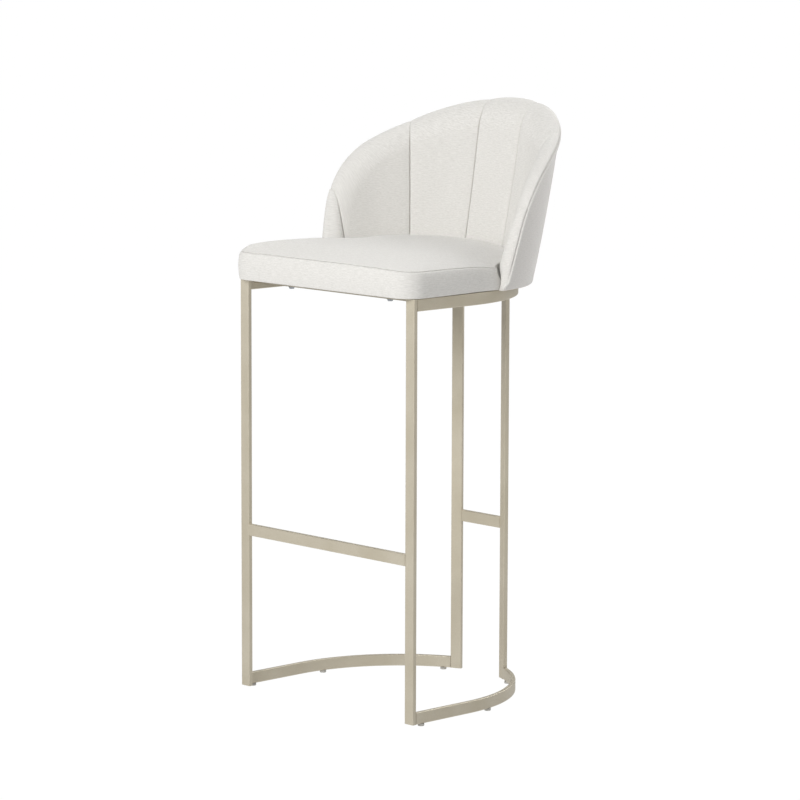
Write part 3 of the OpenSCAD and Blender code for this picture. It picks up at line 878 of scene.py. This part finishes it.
walk = [min((v for v in band.verts if v.is_boundary), key=lambda v: (-v.co.y, v.co.x))]
while True:
    steps = [e.other_vert(walk[-1]) for e in walk[-1].link_edges if e.is_boundary]
    steps = [v for v in steps if v not in walk[-2:]]
    if not steps or steps[0] is walk[0]:
        break
    walk.append(steps[0])
seam_walk = [v.co.copy() for v in walk]
outwards, distance = [], [0.0]
for i, here in enumerate(seam_walk):
    before, after = seam_walk[i - 1], seam_walk[(i + 1) % len(seam_walk)]
    ahead = (after - before).normalized()
    sideways = Vector((ahead.y, -ahead.x, 0)).normalized()
    faces = walk[i].link_faces
    inner = sum((f.calc_center_median() for f in faces), Vector()) / len(faces)
    outwards.append(sideways if sideways.dot(inner - here) < 0 else -sideways)
    distance.append(distance[-1] + (after - here).length)
loop_length = distance[-1]
print("seam of", len(walk), "points,", round(loop_length, 3), "m round")

# %% Shape of the boxing
boxing_rings = [  # how far below the seam, and how far out from it, in mm
    (2.8, 2.2), (6, 3.4), (11, 4.3), (18, 5.2), (25, 5.1), (31, 4.6), (35.5, 4.0), (38.6, 3.5),
    (40.6, 2.9), (41.4, 1.6), (41.6, -1.5), (41.6, -12), (41.6, -27),
]
boxing_deep = boxing_rings[-1][0]
stapled_z = ring_top + 0.35 * mm
mouth_blend = 24 * mm  # length at the mouth over which the boxing goes from free to tucked
tuck_out, tuck_from = 7 * mm, 20  # inside the tub its foot stands out this far, below this many mm
slit_from, slit_blend = 14, 8  # the cloth is drawn into the slit from 14 mm down, fully 8 mm lower
slit_rows = (  # the y of a row, then the x and y to which its cloth is drawn
    (mouth_y, 210.5 * mm, mouth_y + 2.6 * mm), (mouth_y + mouth_gap, 206 * mm, mouth_y + mouth_gap),
)


def boxing_place(i, below, outset):
    """The point under seam point i that is this far below the seam and out from it, in mm"""
    top = seam_walk[i]
    free = smooth_step((mouth_y + mouth_blend / 2 - top.y) / mouth_blend)
    if outset > 0:  # inside the tub the foot of the boxing is tucked against the lining
        place = top + between(tuck_out * (below > tuck_from), outset * mm, free) * outwards[i]
    else:
        place = top + outset * mm * outwards[i]
    for row_y, x, y in slit_rows:  # low down the cloth is drawn back into the slit, over the wood
        if abs(top.y - row_y) < 0.5 * mm and below > slit_from:
            drawn = smooth_step((below - slit_from) / slit_blend) * (0 <= outset)
            place.x = between(place.x, x * (1 if place.x > 0 else -1), drawn)
            place.y = between(place.y, y, drawn)
    place.z = top.z + (stapled_z - top.z) * (below / boxing_deep)
    return place


print("boxing of", len(boxing_rings), "rings,", boxing_deep, "mm deep")

# %% Boxing, extruded down from the seam
below_seam = {v: 0.0 for v in walk}
order = {v: i for i, v in enumerate(walk)}  # the seam point above each corner
edges = [e for e in band.edges if e.is_boundary]
for below, outset in boxing_rings:
    fresh = bmesh.ops.extrude_edge_only(band, edges=edges)["geom"]
    edges = [g for g in fresh if isinstance(g, bmesh.types.BMEdge) and g.is_boundary]
    ring = {}
    for v in {v for e in edges for v in e.verts}:
        above = next(e.other_vert(v) for e in v.link_edges if e.other_vert(v) in order)
        ring[v] = order[above]
    order.update(ring)
    below_seam.update({v: below * mm for v in ring})
    for v, i in ring.items():
        v.co = boxing_place(i, below, outset)
    for face in [g for g in fresh if isinstance(g, bmesh.types.BMFace)]:
        face.smooth = True
        places = [distance[order[loop.vert]] for loop in face.loops]
        for loop, u in zip(face.loops, places):
            u += loop_length if max(places) - u > loop_length / 2 else 0
            loop[weave].uv = (u, below_seam[loop.vert] + 0.3)
bmesh.ops.recalc_face_normals(band, faces=band.faces)
if sum(f.normal.z * f.calc_area() for f in band.faces if f.calc_center_median().z > seam_z) < 0:
    bmesh.ops.reverse_faces(band, faces=band.faces)
band.verts.index_update()
seam_points = [v.index for v in walk]
low_points = [v.index for v in band.verts if v.co.z < ring_top + 1.5 * mm]
band.to_mesh(pad.data)
band.free()
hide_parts("seat_foam", "seat_cover")
print("pad", len(pad.data.polygons), "faces,", len(low_points), "points held low down")

# %% [markdown]
# ## Blowing up the pad
#
# The seam and the stapled edge are held, and air pressed against the inside of the cloth rounds
# the crown and the boxing between them, with the small puckers that real cloth gets at its
# corners. No point may move more than a few millimetres. The settled shape is written back to the
# mesh, so no simulation is left on the piece.

# %% Cloth simulation of the pad
def inflate(piece, held, pressure, cap, last_frame=20):
    """Swells a cloth piece by air pressure with some of its points held, and keeps the result"""
    rest = [v.co.copy() for v in piece.data.vertices]
    pins = piece.vertex_groups.new(name="held")
    for number, weight in held.items():
        pins.add([number], weight, "REPLACE")
    cloth = piece.modifiers.new("cloth", "CLOTH")
    settings = cloth.settings
    settings.quality = 6
    settings.mass = 0.3
    settings.tension_stiffness = settings.compression_stiffness = 20
    settings.shear_stiffness = 12
    settings.bending_stiffness = 1.5
    settings.air_damping = 2
    settings.use_pressure = True
    settings.uniform_pressure_force = pressure
    settings.effector_weights.gravity = 0
    settings.vertex_group_mass = pins.name
    cloth.collision_settings.use_collision = False
    cloth.point_cache.frame_start, cloth.point_cache.frame_end = 1, last_frame
    scene = bpy.context.scene
    for number in range(1, last_frame + 1):
        scene.frame_set(number)
    solved = piece.evaluated_get(bpy.context.evaluated_depsgraph_get()).to_mesh()
    moves = [v.co - r for v, r in zip(solved.vertices, rest)]
    piece.to_mesh_clear()
    piece.modifiers.remove(cloth)
    piece.vertex_groups.remove(pins)
    scene.frame_set(1)
    for v, r, move in zip(piece.data.vertices, rest, moves):
        v.co = r + move * min(1, cap / max(move.length, 1e-9))
    piece.data.update()
    return max(m.length for m in moves)


held = {number: 1.0 for number in seam_points + low_points}
print("pad moved by up to", round(1000 * inflate(pad, held, 4, 6 * mm), 1), "mm")

# %% [markdown]
# ## The pad's seam
#
# A plain seam pulls both panels inwards along one line. The two edges stay a fold apart and puff
# up on either side, so the seam shows as a thin dark valley. It is made after the simulation,
# which would smooth it away: the seam's edges are bevelled into three lines, and the middle one is
# pushed in.

# %% Seam valley
fold_width, valley_in, valley_down = 2.2 * mm, 4.2 * mm, 1.8 * mm
sewn = bmesh.new()
sewn.from_mesh(pad.data)
sewn.verts.ensure_lookup_table()
seam_line = [sewn.verts[number] for number in seam_points]
seam_at = [v.co.copy() for v in seam_line]
stitched = []
for a, b in zip(seam_line, seam_line[1:] + seam_line[:1]):
    stitched += [e for e in a.link_edges if e.other_vert(a) is b]
folds = bmesh.ops.bevel(sewn, geom=stitched, offset=fold_width, segments=2, profile=0.5,
                        affect="EDGES", material=-1, clamp_overlap=True)["verts"]
nearest = KDTree(len(folds))
for i, v in enumerate(folds):
    nearest.insert(v.co, i)
nearest.balance()
valley = []
for i, place in enumerate(seam_at):
    v = folds[nearest.find(place)[1]]
    v.co = place - valley_in * outwards[i] - Vector((0, 0, valley_down))
    valley.append(v)
crease = sewn.edges.layers.float.new("crease_edge")
for e in {e for v in valley for e in v.link_edges}:
    if e.verts[0] in valley and e.verts[1] in valley:
        e[crease] = 1.0
sewn.to_mesh(pad.data)
sewn.free()
smooth_up(pad, 2)
print("seam sewn with", len(stitched), "stitched edges,", len(set(valley)), "points in the valley")

# %% [markdown]
# ## Floor and light
#
# The stool stands in an endless white room. The floor and the round wall far away glow, and only
# the camera sees them, so the ground stays white while the light on the stool is set apart from
# it. That light is soft: the surroundings are brightest below, as over a white floor, about half
# as bright at eye level and dark overhead. Three soft lamps stand in a row from front to back over
# the stool. Only a weak one stands at the side, so the right side of the pad falls into a soft
# shade.

# %% Floor and wall
floor_half, wall_r, wall_height = 100, 90, 120
room = bmesh.new()
bmesh.ops.create_grid(room, x_segments=1, y_segments=1, size=floor_half)
bmesh.ops.create_cone(room, segments=96, radius1=wall_r, radius2=wall_r, depth=wall_height,
                      cap_ends=False)
room_shape = bpy.data.meshes.new("studio_floor")
room.to_mesh(room_shape)
room.free()
studio_floor = bpy.data.objects.new("studio_floor", room_shape)
bpy.context.scene.collection.objects.link(studio_floor)
studio_floor.location.z = -0.0005
studio_floor.visible_diffuse = studio_floor.visible_glossy = studio_floor.visible_shadow = False
white_paper, paper_tree, paper = new_finish("white_studio_paper")
connect(paper_tree, paper, [
    ("Base Color", linear("#202020")), ("Roughness", 1.0), ("Specular IOR Level", 0.0),
    ("Emission Color", (1, 1, 1, 1)), ("Emission Strength", 1.0),
])
room_shape.materials.append(white_paper)
print("white room of", len(room_shape.polygons), "faces")

# %% Lamps and surroundings
def soft_light(name, place, watts):
    """A 2 m square lamp that looks at the seat"""
    lamp = bpy.data.lights.new(name, "AREA")
    lamp.shape, lamp.size, lamp.energy = "SQUARE", 2.0, watts
    made = bpy.data.objects.new(name, lamp)
    gaze = Vector(place) - Vector((0, 0, 0.7))
    turn = gaze.to_track_quat("Z", "Y").to_matrix().to_4x4()
    made.matrix_world = Matrix.Translation(place) @ turn
    made.visible_camera = False
    bpy.context.scene.collection.objects.link(made)


soft_light("front_light", (0.55, -3.58, 2.39), 117)
soft_light("rear_light", (0.0, 3.06, 3.27), 88)
soft_light("top_light", (0.0, -0.35, 4.68), 45)
soft_light("side_light", (3.1, 1.8, 2.5), 18)

sky = bpy.data.worlds.new("white_room")
sky.use_nodes = True
sky_tree = sky.node_tree
way = add_node(sky_tree, "TexCoord").outputs["Generated"]
climb = add_node(sky_tree, "SeparateXYZ", [("Vector", way)]).outputs["Z"]
share = add_node(sky_tree, "MapRange", [("Value", climb), ("From Min", -1), ("From Max", 1)])
bands = add_node(sky_tree, "ValToRGB", [(0, share.outputs[0])])
below_light, level_light = 0.945, 0.54
for z, grey in ((-0.6, below_light), (-0.2, level_light), (0.35, level_light), (0.65, 0.0)):
    stop = bands.color_ramp.elements.new((z + 1) / 2)
    stop.color = (grey, grey, grey, 1)
bands.color_ramp.elements[0].color = (below_light, below_light, below_light, 1)
bands.color_ramp.elements[-1].color = (0, 0, 0, 1)
sky_tree.links.new(bands.outputs[0], sky_tree.nodes["Background"].inputs["Color"])
bpy.context.scene.world = sky
bpy.context.scene.view_settings.view_transform = "Standard"
